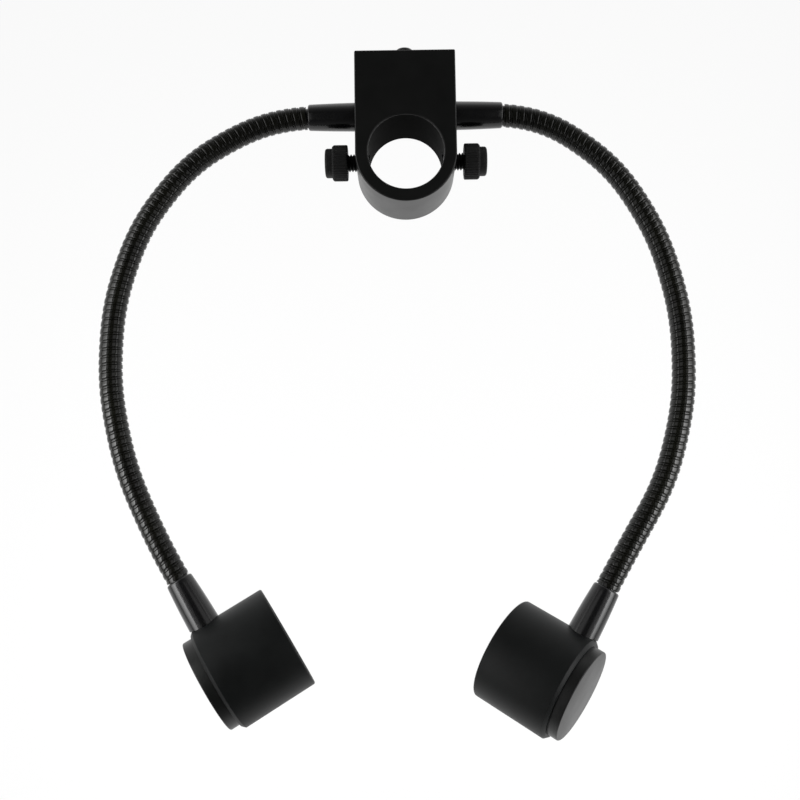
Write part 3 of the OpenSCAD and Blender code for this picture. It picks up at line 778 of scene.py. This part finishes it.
def lamp_head(side):
    """Housing, rear cover, lens with its ring, mirror and LED."""
    housing = eased([(HEAD_IN_R, 0, 0), (HEAD_R - BACK_CHAMFER, 0, 0.15), (HEAD_R, BACK_CHAMFER, 0.15),
                     (HEAD_R, HEAD_LEN, FRONT_ROUND), (LENS_SEAT_R, HEAD_LEN, 0.2),
                     (LENS_SEAT_R, LENS_BACK, 0), (HEAD_IN_R, LENS_BACK, 0), (HEAD_IN_R, 0, 0)])
    head_piece(side, "housing_shell", housing, "lamp_housing", head_anodised)
    plug_r = HEAD_IN_R - FIT
    cover = eased([(0, -COVER_LEN, 0), (COVER_R, -COVER_LEN, 0.4), (COVER_R, 0, 0), (plug_r, 0, 0),
                   (plug_r, PLUG_LEN, 0.2), (0, PLUG_LEN, 0)])
    head_piece(side, "rear_cover", cover, "back_cover", cover_anodised)
    lens_r, lens_front = LENS_SEAT_R - FIT, LENS_BACK + LENS_THICK
    ring_r, ring_front = LENS_SEAT_R - RING_WIDE, lens_front + RING_LEN
    ring = eased([(ring_r, lens_front, 0), (lens_r, lens_front, 0), (lens_r, ring_front, 0.2),
                  (ring_r, ring_front, 0.35), (ring_r, lens_front, 0)])
    head_piece(side, "retaining_ring", ring, "lens_ring", head_anodised)
    lens = eased([(0, LENS_BACK, 0), (lens_r, LENS_BACK, 0.15), (lens_r, lens_front, 0.15),
                  (0, lens_front, 0)])
    head_piece(side, "lens_disc", lens, "front_lens", lens_glass)
    bowl = [(MIRROR_FOOT_R + (MIRROR_RIM_R - MIRROR_FOOT_R) * k / BOWL_STEPS,
             MIRROR_FOOT + MIRROR_WALL + (MIRROR_RIM - MIRROR_FOOT) * (k / BOWL_STEPS) ** BOWL_CURVE)
            for k in range(BOWL_STEPS + 1)]
    outside = [(r + MIRROR_WALL, z - MIRROR_WALL) for r, z in reversed(bowl)]
    flange = [(MIRROR_RIM_R, LENS_BACK), (MIRROR_FLANGE_R, LENS_BACK), (MIRROR_FLANGE_R, MIRROR_RIM)]
    foot = (MIRROR_FOOT_R, BOARD_FACE)
    mirror = [foot, *bowl, *flange, *outside, (MIRROR_FOOT_R + MIRROR_WALL, BOARD_FACE), foot]
    head_piece(side, "mirror_bowl", mirror, "reflector", reflector_mirror, 96)
    led(side)


def led(side):
    """A ceramic square with a silicone dome."""
    deselect()
    bpy.ops.mesh.primitive_cube_add(size=1, location=(0, 0, 0))
    piece = started(f"{side}_led")
    bpy.ops.transform.resize(value=(LED_WIDE, LED_WIDE, LED_THICK))
    bpy.ops.transform.translate(value=(0, 0, BOARD_FACE + LED_THICK / 2))
    bpy.ops.mesh.bevel(offset=0.12, segments=2, affect="EDGES")
    close_up(piece)
    face_z = BOARD_FACE + LED_THICK
    dome = [(0, face_z - 0.1)]
    for rise in quarter(12)[:-1]:
        dome.append((DOME_R * math.cos(rise), face_z + DOME_R * math.sin(rise)))
    dome.append((0, face_z + DOME_R))
    weld(piece, turned("dome", dome, 48))
    for face in piece.data.polygons:
        face.material_index = int(face.center.z > face_z + 0.02)
    settle(piece, [led_ceramic, led_phosphor], lamp_frame(side), 40)
    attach(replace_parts(piece, f"{side}_led_emitter"), f"{side}_head")


# Put together

clamp_block()
power_inlet()
for side in SIDES:
    knurled_knob(side)
    thumb_thread(side)
    soft_tip(side)
    block_ferrule(side)
    line = drawn_curve(f"{side}_arm_line", gentle[side])
    gooseneck(side, line)
    bpy.data.objects.remove(line)
    lamp_cable(side)
    lamp_stem(side)
    lamp_head(side)

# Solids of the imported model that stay, with their finishes
KEPT = {"inlet_insulator": black_nylon, "inlet_pin": pin_brass, "inlet_lead": cable_pvc,
        "cable_splice": cable_pvc}
for side in SIDES:
    KEPT |= {f"{side}_stem_nut": nut_zinc, f"{side}_heat_sink": sink_aluminium,
             f"{side}_led_board": board_mask, f"{side}_board_screws": nut_zinc}
for name, material in KEPT.items():
    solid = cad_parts[name]
    solid.data.materials.clear()
    solid.data.materials.append(material)


# Studio

FLOOR_Z, FLOOR_SIZE = -0.20, 40
WHITE_SHARE = 0.92

# Shade of the room by height, from the horizon up, and its strength in front of and behind the object
ROOM_SHADES = ((0.0, 1.0), (0.25, 0.5), (0.6, 0.22), (0.9, 0.08))
ROOM_FRONT, ROOM_BACK = 0.35, 1.0

# Lamps of each side in metres: place and aim (outwards, back, up), width, height, watts, spread in degrees
LAMPS = {
    "softbox": ((0.24, -0.22, 0.08), (0.1975, -0.22, 0), 0.30, 0.18, 0.42, 108),
    "rear_softbox": ((0.24, 0.02, 0.08), (0.1975, 0.02, 0), 0.18, 0.18, 0.126, 108),
    "scrim": ((0.33, -0.08, 0.5), (0, -0.08, 0), 0.60, 0.34, 0.32, 180),
}

# The photograph's camera: nearly overhead, from a little in front
SENSOR, LENS, CLIP_START = 36.0, 43.257, 0.01
ELEVATION, ROLL, DISTANCE = math.radians(83.921), math.radians(-0.819), 0.317776
TARGET = Vector((-0.003166, -0.081062, 0))


def paper_floor():
    """White paper, which keeps a faint shadow where it is seen straight, mirrored or through glass."""
    made, tree = blank("white_backdrop_paper")
    path = add(tree, "ShaderNodeLightPath").outputs
    mirrored = add(tree, "ShaderNodeMath", links={0: path["Is Camera Ray"], 1: path["Is Glossy Ray"]},
                   operation="MAXIMUM")
    seen = add(tree, "ShaderNodeMath", links={0: mirrored.outputs[0], 1: path["Is Transmission Ray"]},
               operation="MAXIMUM")
    share = add(tree, "ShaderNodeMath", {1: WHITE_SHARE}, {0: seen.outputs[0]}, operation="MULTIPLY")
    paper = add(tree, "ShaderNodeBsdfDiffuse", {"Color": linear("#E8E8E8")})
    white = add(tree, "ShaderNodeEmission", {"Color": (1, 1, 1, 1), "Strength": 1.0})
    mixed = add(tree, "ShaderNodeMixShader",
                links={0: share.outputs[0], 1: paper.outputs["BSDF"], 2: white.outputs["Emission"]})
    add(tree, "ShaderNodeOutputMaterial", links={"Surface": mixed.outputs["Shader"]})
    return made


def studio_room():
    """Pale walls, brighter behind the object than in front of it, under a dark ceiling."""
    world = bpy.data.worlds.new("studio_room")
    bpy.context.scene.world = world
    world.use_nodes = True
    room = world.node_tree
    room.nodes.clear()
    place = add(room, "ShaderNodeTexCoord").outputs["Generated"]
    way = add(room, "ShaderNodeSeparateXYZ", links={"Vector": place})
    wall = add(room, "ShaderNodeValToRGB", links={"Fac": way.outputs["Z"]})
    stops = wall.color_ramp.elements
    for position, shade in ROOM_SHADES:
        stop = stops[0] if position == 0 else stops.new(position)
        stop.color = (shade, shade, shade, 1)
    stops.remove(stops[-1])
    depth = add(room, "ShaderNodeMapRange",
                {"From Min": -1.0, "From Max": 1.0, "To Min": ROOM_FRONT, "To Max": ROOM_BACK},
                {"Value": way.outputs["Y"]})
    shine = add(room, "ShaderNodeBackground",
                links={"Color": wall.outputs["Color"], "Strength": depth.outputs["Result"]})
    add(room, "ShaderNodeOutputWorld", links={"Surface": shine.outputs["Background"]})


def hang_lamp(name, place, aim, width, height, watts, spread):
    """A lamp behind cloth; a honeycomb grid keeps a softbox's light from spreading wide."""
    light = bpy.data.lights.new(name, "AREA")
    light.shape, light.size, light.size_y, light.energy = "RECTANGLE", width, height, watts
    light.spread = math.radians(spread)
    carrier = bpy.data.objects.new(name, light)
    carrier.location = place
    carrier.rotation_euler = (aim - place).to_track_quat("-Z", "Y").to_euler()
    carrier.visible_camera = False
    bpy.context.scene.collection.objects.link(carrier)


deselect()
bpy.ops.mesh.primitive_plane_add(size=FLOOR_SIZE, location=(0, 0, FLOOR_Z))
floor = bpy.context.object
floor.name = "studio_floor"
floor.data.materials.append(paper_floor())
studio_room()
for side, outwards in OUTWARDS.items():
    for name, (place, aim, *settings) in LAMPS.items():
        place, aim = (Vector((outwards * x, y, z)) for x, y, z in (place, aim))
        hang_lamp(f"{side}_{name}", place, aim, *settings)

camera = bpy.data.cameras.new("photo_camera")
camera.sensor_width, camera.lens, camera.clip_start = SENSOR, LENS, CLIP_START
carrier = bpy.data.objects.new("photo_camera", camera)
bpy.context.scene.collection.objects.link(carrier)
carrier.location = TARGET + DISTANCE * Vector((0, -math.cos(ELEVATION), math.sin(ELEVATION)))
carrier.rotation_mode = "XYZ"
tilt = Matrix.Rotation(math.pi / 2 - ELEVATION, 3, "X")
carrier.rotation_euler = (tilt @ Matrix.Rotation(ROLL, 3, "Z")).to_euler()
bpy.context.scene.camera = carrier
bpy.context.scene.view_settings.view_transform = "Standard"

deselect()
